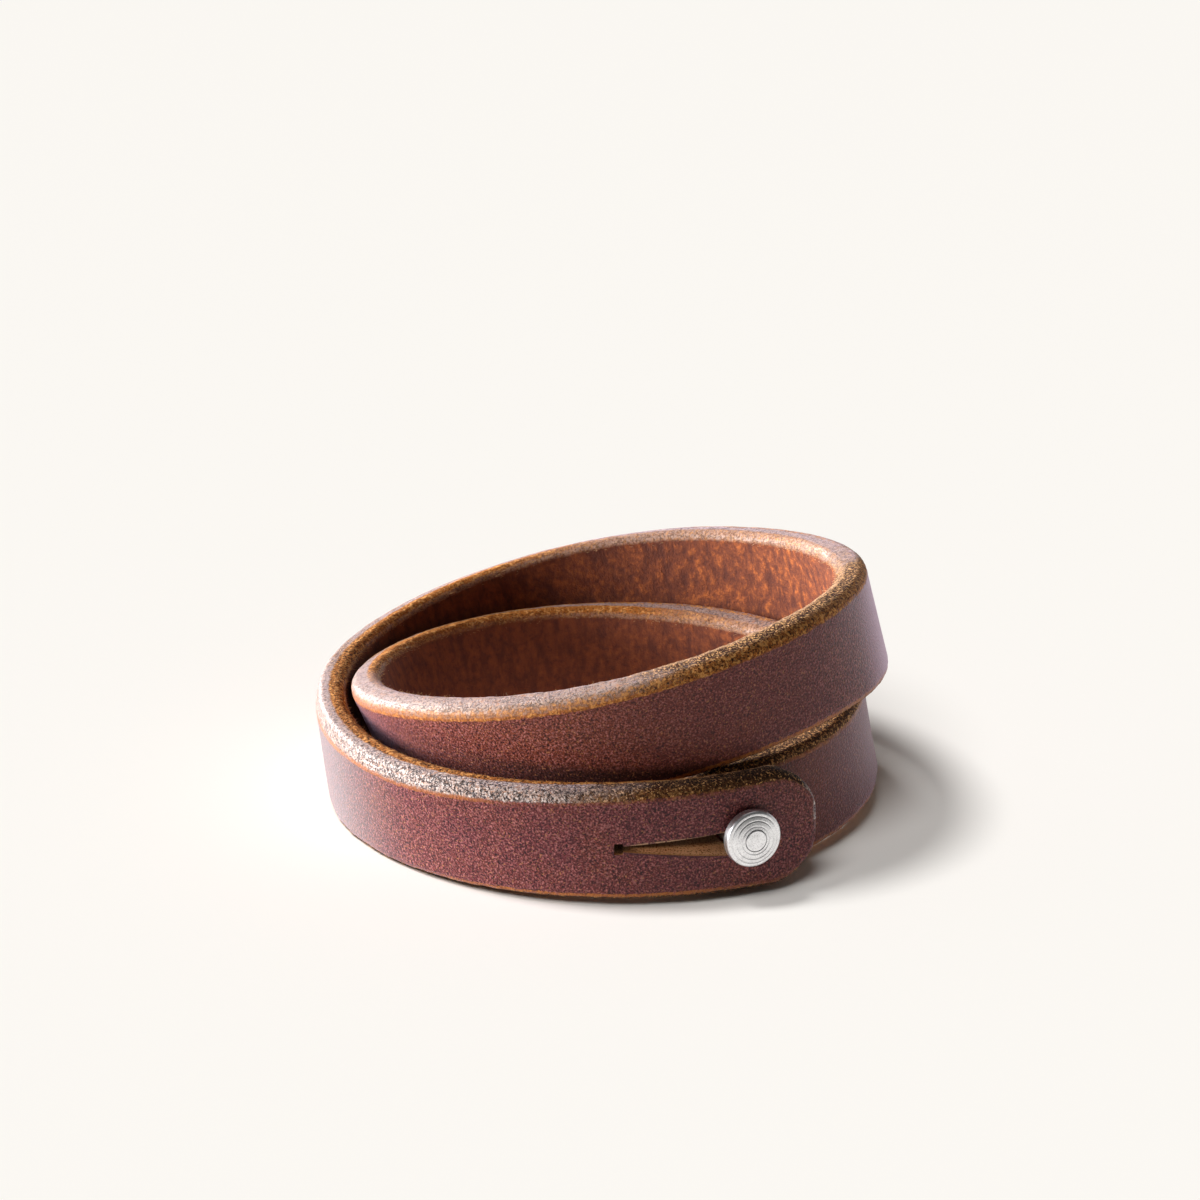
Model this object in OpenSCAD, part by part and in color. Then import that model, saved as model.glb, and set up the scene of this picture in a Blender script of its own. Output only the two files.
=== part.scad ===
// Wrap bracelet: one thick leather strap that goes twice round the wrist and buttons on a steel stud.
// Millimetres, +Z up, the buttoned front towards -Y. It lies on the table as it does when taken off,
// and the origin is on the table, under the middle of the bracelet.

/* [Strap] */
// Width of the strap
strap_w = 12.7; // [12.2:0.1:13]
// Thickness of the leather
strap_t = 3.5; // [3:0.1:3.5]
// Radius of the rounded long edges
edge_r = 1.1; // [0.8:0.1:1.3]
// Radius of the corners at the two ends
end_r = 6; // [5:0.25:6]
// Angle of the outer end, clockwise from the front
outer_end = -45; // [-47:1:-43]
// Angle of the inner end, after two whole turns
inner_end = 703; // [701:1:704]

/* [Buttonhole] */
// Angle of the stud, clockwise from the front
stud_angle = -29.5; // [-31:0.5:-28]
// Diameter of the round hole that the neck of the stud sits in
hole_d = 4.8; // [4.6:0.1:5]
// Length of the slit, from the middle of the hole
slit_l = 14; // [12:0.5:15]
// Distance of the upper lip from the middle of the strap, at the closed end
slit_up = 0.15; // [0.1:0.05:0.4]
// The same at the hole
slit_up_open = 0.9; // [0.6:0.1:1.4]
// Distance of the lower lip from the middle of the strap, at the closed end
slit_down = 0.55; // [0.4:0.05:0.7]
// The same at the hole
slit_down_open = 2.3; // [1.8:0.1:2.3]
// Height of the small cross cut at the closed end
nick_h = 1.3; // [1:0.1:1.8]

/* [Stud] */
// Diameter of the turned head
head_d = 6.3; // [6:0.1:6.8]
// Height of the head
head_h = 1.8; // [1.6:0.1:2]
// Height of the domed top above the rim
dome_h = 0.6; // [0.4:0.1:0.7]
// Diameter of the neck inside the buttonhole
neck_d = 4.2; // [4:0.1:4.2]
// Diameter of the post's two thin ends
post_d = 2.4; // [2.2:0.1:2.5]
// Diameter of the back disc inside the bracelet
back_d = 8; // [7:0.5:8.5]
// Thickness of the back disc
back_t = 1; // [0.8:0.1:1.2]

/* [Hidden] */

// The strap's path has one row for each eighth of a turn, and a smooth curve is drawn towards the rows.
// The angle runs clockwise from the front, seen from above, and goes on past each whole turn.
// The radius is from the wrist's axis to the middle of the leather, and the rise from the table to
// the lower edge. The lean is how far the upper edge tips outwards, in degrees.
ANGLE = 0;
RADIUS = 1;
RISE = 2;
LEAN = 3;
PATH = [
    // angle, radius, rise, lean
    [-90, 36.5, 0, 3],
    [-45, 32, 1, -8],
    [0, 30, 1, 7],
    [45, 28.5, 0, 13],
    [90, 29, 0, 3],
    [135, 31, 0.5, 18],
    [180, 32, 6.5, 20],
    [225, 31, 11, -7],
    [270, 29.5, 15.5, -19],
    [315, 29, 16.5, 0],
    [360, 26.5, 10.5, 14],
    [405, 23, 6, 22],
    [450, 23.5, 1.5, 23],
    [495, 25.5, 0, 22],
    [540, 26, 0, 6],
    [585, 28, 1.5, -20],
    [630, 29.5, 2.5, -12],
    [675, 28.5, 1, 5],
    [720, 25.5, 0, -8],
    [765, 27, 0, 0],
];
row_step = PATH[1][ANGLE] - PATH[0][ANGLE];
turns = 720;          // the inner end lies two whole turns behind the outer one
outline_mid = [0.5, 1.2]; // middle of the bracelet's outline, from the wrist's axis
ring_step = 4.5;      // degrees between the rings of the strap
end_rings = 6;        // rings in the round of each end
edge_points = 4;      // points in each rounded edge of a ring
lip_steps = 8;        // parts that the slit's lips are drawn in
nick_l = 0.9;         // length of the cross cut
overcut = 0.25;       // how far a cut goes on behind the outer layer, less than the gap there
reach = 1;            // how far a cut or bore passes the faces that it opens
nick_step = 0.01;     // length in which the lips step apart to it
gap = 0.1;            // room left between the pieces
head_gap = 0.2;       // room between the head and the leather
back_gap = 0.4;       // room between the back disc and the leather, which curves towards its rim
stem_gap = 0.05;      // room round the post's thin end in the head
rim_r = 0.35;         // rounding of the head's rim
groove_w = 0.16;      // width of a turned groove in the head
groove_h = 0.06;      // its depth
groove_share = [0.5, 0.68, 0.84]; // where the grooves are, as shares of the head's radius
fine = 96;

strap_colour = [0.36, 0.17, 0.13];
steel_colour = [0.78, 0.78, 0.79];

// One value of the path, by its column: a uniform cubic B-spline on the rows
function blend(a, b, c, d, s) =
    (a * pow(1 - s, 3) + b * (3 * pow(s, 3) - 6 * s * s + 4)
     + c * (-3 * pow(s, 3) + 3 * s * s + 3 * s + 1) + d * pow(s, 3)) / 6;
function path(column, angle) =
    let (place = (angle - PATH[0][ANGLE]) / row_step,
         i = max(1, min(len(PATH) - 3, floor(place))))
    blend(PATH[i - 1][column], PATH[i][column], PATH[i + 1][column], PATH[i + 2][column], place - i);

// Middle of the leather: high enough for the leaning section to stand on its lower edge
function middle(angle) =
    let (radius = path(RADIUS, angle),
         lean = path(LEAN, angle),
         stand = (strap_w / 2 - edge_r) * cos(lean) + (strap_t / 2 - edge_r) * abs(sin(lean)) + edge_r)
    [-radius * sin(angle) - outline_mid.x, -radius * cos(angle) - outline_mid.y, path(RISE, angle) + stand];

function unit(v) = v / norm(v);
function along(angle) = unit(middle(angle + 1) - middle(angle - 1));

// The two directions of a section: out through the grain face, and up along the strap's width
function out_flat(angle) = let (t = along(angle)) unit([-t.y, t.x, 0]);
function up_plain(angle) = cross(along(angle), out_flat(angle));
function outward(angle) =
    let (lean = path(LEAN, angle)) cos(lean) * out_flat(angle) - sin(lean) * up_plain(angle);
function upward(angle) =
    let (lean = path(LEAN, angle)) cos(lean) * up_plain(angle) + sin(lean) * out_flat(angle);

// A point of the strap, out from its middle by x and up by y
function at(angle, p) = middle(angle) + p.x * outward(angle) + p.y * upward(angle);

// Degrees that a length takes up at an angle of the path
function degrees_of(length, angle) = length / norm(middle(angle + 0.5) - middle(angle - 0.5));

// Section of the strap with half sizes x and y: a rectangle with rounded corners
function section(x, y) =
    let (r = min(edge_r, x * 0.999, y * 0.999))
    [for (corner = [0:3], i = [0:edge_points - 1])
        let (turn = 90 * corner + 90 * i / (edge_points - 1),
             side = corner == 0 || corner == 3 ? 1 : -1,
             top = corner < 2 ? 1 : -1)
        [side * (x - r) + r * cos(turn), top * (y - r) + r * sin(turn)]];

// Ring of the strap at a distance from its nearest end, narrowed there to the end's round outline
function rounding(r, s) = s >= r ? 0 : r - sqrt(r * r - pow(r - s, 2));
function ring(angle, s) =
    [for (p = section(strap_t / 2 - rounding(edge_r, s), strap_w / 2 - rounding(end_r, s)))
        at(angle, p)];

end_stops = [for (i = [0:end_rings - 1]) end_r * (1 - cos(90 * i / end_rings))];
outer_body = outer_end + degrees_of(end_r, outer_end);
inner_body = inner_end - degrees_of(end_r, inner_end);
body_rings = round((inner_body - outer_body) / ring_step);
strap_rings = [
    for (s = end_stops) ring(outer_end + degrees_of(s, outer_end), s),
    for (i = [0:body_rings]) ring(outer_body + (inner_body - outer_body) * i / body_rings, end_r),
    for (i = [end_rings - 1:-1:0]) ring(inner_end - degrees_of(end_stops[i], inner_end), end_stops[i]),
];

// Closed skin over rings with the same number of points each
module skin(rings) {
    n = len(rings[0]);
    last = len(rings) - 1;
    sides = [
        for (i = [0:last - 1], j = [0:n - 1])
            let (k = (j + 1) % n)
            each [
                [i * n + j, (i + 1) * n + k, i * n + k],
                [i * n + j, (i + 1) * n + j, (i + 1) * n + k],
            ],
    ];
    first_cap = [for (j = [1:n - 2]) [0, j, j + 1]];
    last_cap = [for (j = [1:n - 2]) [last * n, last * n + j + 1, last * n + j]];
    polyhedron(points = [for (r = rings) each r], faces = concat(first_cap, sides, last_cap));
}

// The slit: two straight lips that gape towards the hole, and a nick across its closed end
function slit_ring(s, high, low) =
    let (angle = stud_angle + degrees_of(s, stud_angle),
         front = strap_t / 2 + reach,
         back = -strap_t / 2 - overcut)
    [at(angle, [front, high]), at(angle, [back, high]), at(angle, [back, -low]), at(angle, [front, -low])];
function lip(open, closed, share) = open + (closed - open) * share;
module slit() {
    nick_mid = (slit_up - slit_down) / 2;
    stops = [for (i = [0:lip_steps]) i / lip_steps];
    skin(concat(
        [for (share = stops) slit_ring((slit_l - nick_l) * share,
            lip(slit_up_open, slit_up, share), lip(slit_down_open, slit_down, share))],
        [for (s = [slit_l - nick_l + nick_step, slit_l])
            slit_ring(s, nick_h / 2 + nick_mid, nick_h / 2 - nick_mid)]
    ));
}

// Axes of the stud: z goes out through the grain face of the outer layer, from the middle of its leather
stud_at = middle(stud_angle);
stud_out = outward(stud_angle);
stud_up = upward(stud_angle);
stud_side = cross(stud_up, stud_out);
module on_stud() {
    multmatrix([
        [stud_side.x, stud_up.x, stud_out.x, stud_at.x],
        [stud_side.y, stud_up.y, stud_out.y, stud_at.y],
        [stud_side.z, stud_up.z, stud_out.z, stud_at.z],
    ]) children();
}

// Heights along the stud's axis
inner_middle = (middle(stud_angle + turns) - stud_at) * stud_out;
inner_front = inner_middle + strap_t / 2;
inner_back = inner_middle - strap_t / 2;
head_low = strap_t / 2 + head_gap;
head_top = head_low + head_h;
back_low = inner_back - back_gap - back_t;

module bore(d, low, high) {
    translate([0, 0, low]) cylinder(d = d, h = high - low, $fn = fine);
}

module strap() {
    color(strap_colour)
    difference() {
        skin(strap_rings);
        slit();
        on_stud() {
            bore(hole_d, -strap_t / 2 - overcut, strap_t / 2 + reach);
            bore(post_d + 2 * gap, inner_back - reach, 0);
        }
    }
}

// Turned head: a rounded rim, a low dome with fine grooves and a bore for the end of the post
dome_r = (pow(head_d / 2, 2) + dome_h * dome_h) / (2 * dome_h);
function dome(x) = head_h - dome_r + sqrt(dome_r * dome_r - x * x);
rim_top = dome(head_d / 2 - rim_r);
rim_turn = [0:15:90];
function groove(share) =
    let (x = share * head_d / 2)
    [[x + groove_w / 2, dome(x + groove_w / 2)], [x, dome(x) - groove_h], [x - groove_w / 2, dome(x - groove_w / 2)]];
module stud_cap() {
    bore_r = post_d / 2 + stem_gap;
    outline = concat(
        [[bore_r, 0]],
        [for (a = rim_turn) [head_d / 2 - rim_r + rim_r * sin(a), rim_r - rim_r * cos(a)]],
        [for (a = rim_turn) [head_d / 2 - rim_r + rim_r * cos(a), rim_top - rim_r + rim_r * sin(a)]],
        [for (i = [len(groove_share) - 1:-1:0]) each groove(groove_share[i])],
        [[bore_r, dome(bore_r)]]
    );
    color(steel_colour)
    on_stud()
    translate([0, 0, head_low])
    rotate_extrude($fn = fine)
    polygon(outline);
}

// Post: a back disc inside the bracelet, a thin stem through the inner end, a neck in the
// buttonhole, and a thin end that shows in the middle of the head
module stud_post() {
    neck_low = inner_front + gap;
    neck_high = head_low - gap;
    round_r = back_t / 2;
    outline = [
        [0, back_low],
        for (a = [-90:15:90]) [back_d / 2 - round_r + round_r * cos(a), back_low + round_r + round_r * sin(a)],
        [post_d / 2, back_low + back_t],
        [post_d / 2, neck_low],
        [neck_d / 2, neck_low],
        [neck_d / 2, neck_high],
        [post_d / 2, neck_high],
        [post_d / 2, head_top - gap],
        [post_d / 2 - gap, head_top],
        [0, head_top],
    ];
    color(steel_colour)
    on_stud()
    rotate_extrude($fn = fine)
    polygon(outline);
}

strap();
stud_cap();
stud_post();
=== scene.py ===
from itertools import product
from math import radians

import bpy
import numpy as np
from mathutils import Euler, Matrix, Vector


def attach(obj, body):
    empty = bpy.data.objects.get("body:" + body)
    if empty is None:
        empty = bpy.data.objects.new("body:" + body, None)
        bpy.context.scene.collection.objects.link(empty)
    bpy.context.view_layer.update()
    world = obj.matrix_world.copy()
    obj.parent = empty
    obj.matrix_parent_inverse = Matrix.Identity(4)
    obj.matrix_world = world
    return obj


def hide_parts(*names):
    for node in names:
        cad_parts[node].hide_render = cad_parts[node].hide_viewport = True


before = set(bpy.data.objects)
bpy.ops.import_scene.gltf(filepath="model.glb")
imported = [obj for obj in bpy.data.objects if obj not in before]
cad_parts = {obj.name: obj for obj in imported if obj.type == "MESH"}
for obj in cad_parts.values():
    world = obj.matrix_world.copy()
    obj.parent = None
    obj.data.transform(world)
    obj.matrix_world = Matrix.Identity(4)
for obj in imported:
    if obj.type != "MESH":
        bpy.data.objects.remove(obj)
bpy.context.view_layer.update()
mm = 0.001


# The strap's sizes in mm and degrees; the first seven are the part's own
strap = {
    "width": 12.7,
    "thick": 3.5,
    "edgeRound": 1.1,
    "endRound": 6.0,
    "outerEnd": -45.0,
    "innerEnd": 703.0,
    "outlineMiddle": (0.5, 1.2),  # middle of the outline, which goes to the origin
    "pathSteps": 9000,  # points at which the length of the path is measured
    "ringStep": 0.52,  # mm between rings
    "fineStep": 0.2,  # the same round the buttonhole
    "finePast": 1.2,  # how far the fine rings reach past the slit
    "faceStep": 0.42,  # mm between points across the two faces
    "edgeStep": 0.155,  # the same over the edges
    "endSteps": 26,  # rings in the round of each end
    "cornerMost": 0.999,  # share of a thin section that its corners may take
    "crown": 0.12,  # how far the burnished edges dome
    "crownPower": 0.7,  # under 1 for a flatter dome
    "groove": 0.05,  # depth of the line where the edge tool ran
    "grooveAt": 0.35,  # its distance outside the face
    "grooveWide": 0.22,
    "bevel": 0.32,  # how far the corner is worn back for each mm that the grain ends lower
    "bevelAt": 0.55,  # its distance outside the face
    "bevelWide": 0.75,
    "waves": ((9.0, 0.035, 3), (4.0, 0.0175, 4)),  # long waves in the leather: size, height, seed
    "wear": 0.045,  # height of the small dents in the edges
    "wearLeast": 0.3,  # share of them that polished edges keep
    "dents": ((1.3, 1.0, 5), (0.6, 0.6, 6), (0.3, 0.4, 7)),  # small dents: size, share, seed
    "innerCorner": (1.2, 1.0),  # mm over which the inner corner's dents grow and fade
    "nap": 0.03,  # height of the rough flesh side
    "sag": 0.15,  # how far the foot of the second pass hangs lower, over the inner end
    "sagPlace": 203.0,
    "sagLength": 8.0,
    "sharpAngle": 48,  # degrees between faces from which an edge is shown sharp
}
halfThick = strap["thick"] / 2
halfWide = strap["width"] / 2
# The part's own path: angle clockwise from the front, radius to the middle of the leather, rise over the
# table, outward lean
strapRows = np.array([
    (-90, 36.5, 0, 3),
    (-45, 32, 1, -8),
    (0, 30, 1, 7),
    (45, 28.5, 0, 13),
    (90, 29, 0, 3),
    (135, 31, 0.5, 18),
    (180, 32, 6.5, 20),
    (225, 31, 11, -7),
    (270, 29.5, 15.5, -19),
    (315, 29, 16.5, 0),
    (360, 26.5, 10.5, 14),
    (405, 23, 6, 22),
    (450, 23.5, 1.5, 23),
    (495, 25.5, 0, 22),
    (540, 26, 0, 6),
    (585, 28, 1.5, -20),
    (630, 29.5, 2.5, -12),
    (675, 28.5, 1, 5),
    (720, 25.5, 0, -8),
    (765, 27, 0, 0),
])
hole = {
    "angle": -29.5,
    "diameter": 4.8,
    "slitLength": 14.0,
    "upperLip": (0.9, 0.15),  # distance from the middle at the hole and at the closed end
    "lowerLip": (2.3, 0.55),
    "nickHeight": 1.3,  # the small cross cut at the end of the slit
    "nickLength": 0.9,
    "nickStep": 0.01,  # over which the slit opens to the cross cut
    "swell": 0.3,  # how much the lower wall bulges up for each mm of depth
    "swellMost": 0.6,  # share of the gap between the lips that it may fill
    "overcut": 0.25,  # how far the cutters reach past the flesh side
    "reach": 1.0,  # how far they reach past the grain
    "slitSteps": 60,
    "depthSteps": 9,
    "boreSides": 96,
    "boreRings": 6,
}
# How the edges are worn, by the angle along the strap: how many mm lower the grain ends at the top, then
# from 0 to 1 the polish of the edge, the golden band above the grain, the thin line above and below the
# grain, and the raw border on the flesh side. The last three also grow wider.
wearRows = np.array([
    # angle, drop, polish, gold, line, foot, inner
    (-45, 0.00, 0.80, 0.00, 0.10, 0.05, 0.10),
    (-40, 0.00, 0.30, 0.00, 0.10, 0.15, 0.10),
    (-28, 0.00, 0.05, 0.15, 0.10, 0.25, 0.20),
    (-12, 0.00, 0.25, 0.35, 0.00, 0.60, 0.30),
    (2, 0.15, 0.55, 0.25, 0.00, 0.60, 0.40),
    (12, 0.30, 0.80, 0.05, 0.05, 0.55, 0.60),
    (25, 0.50, 1.00, 0.00, 0.35, 0.40, 0.90),
    (45, 0.85, 1.00, 0.00, 0.35, 0.15, 1.00),
    (85, 0.90, 0.80, 0.10, 0.50, 0.15, 0.90),
    (110, 0.50, 0.50, 0.25, 0.40, 0.30, 0.80),
    (150, 0.00, 0.80, 0.90, 0.30, 0.50, 0.45),
    (190, 0.00, 0.95, 0.90, 0.30, 0.50, 0.20),
    (235, 0.00, 0.85, 0.80, 0.30, 0.50, 0.25),
    (252, 0.00, 0.70, 0.60, 0.30, 0.50, 0.20),
    (268, 0.00, 0.45, 0.75, 0.40, 0.45, 0.10),
    (295, 0.00, 0.10, 0.90, 0.30, 0.50, 0.05),
    (335, 0.00, 0.25, 1.00, 0.40, 0.60, 0.00),
    (352, 0.00, 0.65, 0.70, 0.80, 0.60, 0.05),
    (375, 0.00, 0.90, 0.65, 1.00, 0.60, 0.15),
    (420, 0.00, 1.00, 0.30, 1.00, 0.50, 0.15),
    (450, 0.00, 0.90, 0.15, 0.80, 0.50, 0.30),
    (475, 0.00, 0.50, 0.80, 0.30, 0.50, 0.80),
    (520, 0.00, 0.50, 1.00, 0.30, 0.50, 0.70),
    (560, 0.00, 0.85, 1.00, 0.30, 0.50, 0.30),
    (610, 0.00, 0.70, 0.80, 0.30, 0.50, 0.15),
    (640, 0.00, 0.00, 0.10, 0.30, 0.50, 0.10),
    (703, 0.00, 0.00, 0.10, 0.30, 0.30, 0.10),
])
footWear = {"polish": 0.3, "inner": 0.5}  # on the lower edge: share of that polish, and its own raw border
# Round the section from the middle of the grain, in mm: where it ends, where the flesh side starts, between
faceEnd = halfWide - strap["edgeRound"]
fleshStart = faceEnd + np.pi * strap["edgeRound"] + strap["thick"] - 2 * strap["edgeRound"]
edgeMiddle = (faceEnd + fleshStart) / 2


def cloud(points, size, seed):
    # soft noise from -1 to 1: random values at the corners of cubes of that size, joined by smooth steps
    count = 32  # cubes to each side before the values repeat
    table = np.random.default_rng(seed).uniform(-1, 1, (count, count, count))
    cell = np.floor(points / size).astype(int)
    part = points / size - cell
    part = part * part * (3 - 2 * part)
    total = np.zeros(points.shape[:-1])
    for corner in product((0, 1), repeat=3):
        weight = np.where(corner, part, 1 - part).prod(-1)
        at = (cell + corner) % count
        total += weight * table[at[..., 0], at[..., 1], at[..., 2]]
    return total


def bell(distance, width):
    # 1 in the middle and less to both sides: e to the power of minus the square of distance by width
    return np.exp(-((distance / width) ** 2))


def unit(v):
    # vectors divided by their lengths
    return v / np.linalg.norm(v, axis=-1, keepdims=True)


def pathValue(column, angle):
    # uniform cubic B-spline: each value blends four rows by weights that run smoothly from row to row
    place = (angle - strapRows[0, 0]) / (strapRows[1, 0] - strapRows[0, 0])
    i = np.clip(np.floor(place).astype(int), 1, len(strapRows) - 3)
    s = place - i
    row = strapRows[:, column]
    return (
        row[i - 1] * (1 - s) ** 3
        + row[i] * (3 * s**3 - 6 * s**2 + 4)
        + row[i + 1] * (-3 * s**3 + 3 * s**2 + 3 * s + 1)
        + row[i + 2] * s**3
    ) / 6


def middle(angle):
    # middle of the leather: round the wrist at the row's radius, standing on the section's lower edge
    turn = np.radians(angle)
    radius = pathValue(1, angle)
    lean = np.radians(pathValue(3, angle))
    r = strap["edgeRound"]
    stand = (halfWide - r) * np.cos(lean) + (halfThick - r) * abs(np.sin(lean)) + r
    x = -radius * np.sin(turn) - strap["outlineMiddle"][0]
    y = -radius * np.cos(turn) - strap["outlineMiddle"][1]
    return np.stack([x, y, pathValue(2, angle) + stand], -1)


def frameAt(angle):
    # along the strap, from a degree before to one after, then out and up its width, both turned by the lean
    along = unit(middle(angle + 1) - middle(angle - 1))
    outFlat = unit(np.stack([-along[..., 1], along[..., 0], 0 * along[..., 0]], -1))
    upPlain = np.cross(along, outFlat)
    lean = np.radians(pathValue(3, angle))[..., None]
    outward = np.cos(lean) * outFlat - np.sin(lean) * upPlain
    upward = np.cos(lean) * upPlain + np.sin(lean) * outFlat
    return along, outward, upward


def onStrap(angle, out, up):
    # a point of the strap: the middle at that angle, moved out and up in its section
    _, outward, upward = frameAt(angle)
    return middle(angle) + out[..., None] * outward + up[..., None] * upward


pathAngles = np.linspace(strap["outerEnd"], strap["innerEnd"], strap["pathSteps"])
pathPieces = np.linalg.norm(np.diff(middle(pathAngles), axis=0), axis=1)
pathLengths = np.concatenate([[0], np.cumsum(pathPieces)])
strapLength = pathLengths[-1]
studLength = np.interp(hole["angle"], pathAngles, pathLengths)


def angleAt(length):
    # the angle at a length along the strap, straight between the measured points
    return np.interp(length, pathLengths, pathAngles)


def strapStations():
    # places of the rings along the strap: close together in the round of the ends and round the buttonhole
    r = strap["endRound"]
    end = r * (1 - np.cos(np.linspace(0, np.pi / 2, strap["endSteps"])))
    fineEnd = studLength + hole["slitLength"] + strap["finePast"]
    fine = np.arange(r + strap["fineStep"], fineEnd, strap["fineStep"])
    count = int((strapLength - r - fineEnd) / strap["ringStep"])
    coarse = np.linspace(fineEnd, strapLength - r, count, endpoint=False)
    return np.concatenate([end, fine, coarse, strapLength - end[::-1]])


def sectionPoints():
    # a rounded rectangle from the middle of the flesh side round by the lower edge to the grain and back.
    # Each point has shares of the two straight runs, the direction of the rounding and its way round in mm.
    r = strap["edgeRound"]
    thickRun = halfThick - r
    faceRun = halfWide - r
    quarter = np.pi / 2 * r
    faceSteps = round(faceRun / strap["faceStep"])
    roundSteps = round(quarter / strap["edgeStep"])
    flatSteps = round(thickRun / strap["edgeStep"])
    # share of the thickness from and to, share of the width, direction in degrees, steps, length
    runs = [
        (-1, -1, 0, -1, 180, 180, faceSteps, faceRun),
        (-1, -1, -1, -1, 180, 270, roundSteps, quarter),
        (-1, 0, -1, -1, 270, 270, flatSteps, thickRun),
        (0, 1, -1, -1, 270, 270, flatSteps, thickRun),
        (1, 1, -1, -1, 270, 360, roundSteps, quarter),
        (1, 1, -1, 0, 360, 360, faceSteps, faceRun),
        (1, 1, 0, 1, 0, 0, faceSteps, faceRun),
        (1, 1, 1, 1, 0, 90, roundSteps, quarter),
        (1, 0, 1, 1, 90, 90, flatSteps, thickRun),
        (0, -1, 1, 1, 90, 90, flatSteps, thickRun),
        (-1, -1, 1, 1, 90, 180, roundSteps, quarter),
        (-1, -1, 1, 0, 180, 180, faceSteps, faceRun),
    ]
    rows = []
    way = -sum(run[-1] for run in runs) / 2
    for x0, x1, y0, y1, turn0, turn1, steps, length in runs:
        share = np.arange(steps) / steps
        turn = np.radians(turn0 + (turn1 - turn0) * share)
        x = x0 + (x1 - x0) * share
        y = y0 + (y1 - y0) * share
        rows.append(np.stack([x, y, np.cos(turn), np.sin(turn), way + length * share], 1))
        way += length
    return np.concatenate(rows).T


def rounding(r, s):
    # how far a quarter circle of radius r has drawn in at the distance s from its end
    inside = np.clip(r - s, 0, r)
    return r - np.sqrt(r * r - inside * inside)


def addMesh(name, points, faces, materials):
    # a mesh object at the origin from points in mm
    mesh = bpy.data.meshes.new(name)
    mesh.from_pydata(points * mm, [], faces)
    mesh.validate()
    mesh.shade_smooth()
    piece = bpy.data.objects.new(name, mesh)
    bpy.context.scene.collection.objects.link(piece)
    for material in materials:
        mesh.materials.append(material)
    return piece


def addMap(piece, name, values):
    # a map of two numbers for each corner of each face
    layer = piece.data.uv_layers.new(name=name, do_init=False)
    layer.uv.foreach_set("vector", np.ascontiguousarray(values, dtype=np.float32).ravel())


def gridFaces(rings, points):
    # quads between neighbouring rings, and for maps the ring and unwrapped point of each of their corners
    i, j = np.meshgrid(np.arange(rings - 1), np.arange(points), indexing="ij")
    ring = np.stack([i, i, i + 1, i + 1], -1).reshape(-1, 4)
    point = np.stack([j, j + 1, j + 1, j], -1).reshape(-1, 4)
    return ring * points + point % points, ring, point


def tipFaces(rings, points):
    # triangles that close the first and the last ring, each fan round one more point after all the rings
    j = np.arange(points)
    following = (j + 1) % points
    tip = rings * points
    last = tip - points
    low = np.stack([0 * j + tip, following, j], 1)
    high = np.stack([0 * j + tip + 1, last + j, last + following], 1)
    return low.tolist() + high.tolist()


def lipAt(lip, share):
    # a straight lip from the hole to the closed end of the slit
    return hole[lip][0] + (hole[lip][1] - hole[lip][0]) * share


def slitDistance(length, up):
    # distance in mm from the outline of the hole and its slit, measured on the flat strap
    s = length - studLength
    fromHole = np.hypot(s, up) - hole["diameter"] / 2
    share = np.clip(s / hole["slitLength"], 0, 1)
    above = up - lipAt("upperLip", share)
    below = -lipAt("lowerLip", share) - up
    past = np.maximum(s - hole["slitLength"], -s)
    fromSlit = np.hypot(np.maximum(np.maximum(above, below), 0), np.maximum(past, 0))
    return np.minimum(np.maximum(fromHole, 0), fromSlit)


def strapSection(fromEnd):
    # for each point of each ring, narrowed to the round ends: out and up in the section, the direction, and
    # the band, which is the way in mm from the grain's middle over the nearest edge or end, under 0 below
    x, y, nx, ny, way = sectionPoints()
    r = strap["edgeRound"]
    thick = halfThick - rounding(r, fromEnd)
    wide = halfWide - rounding(strap["endRound"], fromEnd)
    corner = np.minimum(r, np.minimum(thick, wide) * strap["cornerMost"])
    out = x * (thick - corner)[:, None] + nx * corner[:, None]
    up = y * (wide - corner)[:, None] + ny * corner[:, None]
    edge = abs(way)
    endTurn = r * np.arcsin(np.clip((r - fromEnd) / r, 0, 1)) - np.maximum(fromEnd - r, 0)
    onGrain = np.maximum(edge[None, :], (faceEnd + endTurn)[:, None])
    onFlesh = np.minimum(edge[None, :], (fleshStart - endTurn)[:, None])
    outer = np.minimum(onGrain, edgeMiddle)
    inner = np.maximum(onFlesh, edgeMiddle)
    return out, up, nx, ny, np.sign(way) * np.where(edge < edgeMiddle, outer, inner)


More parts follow.
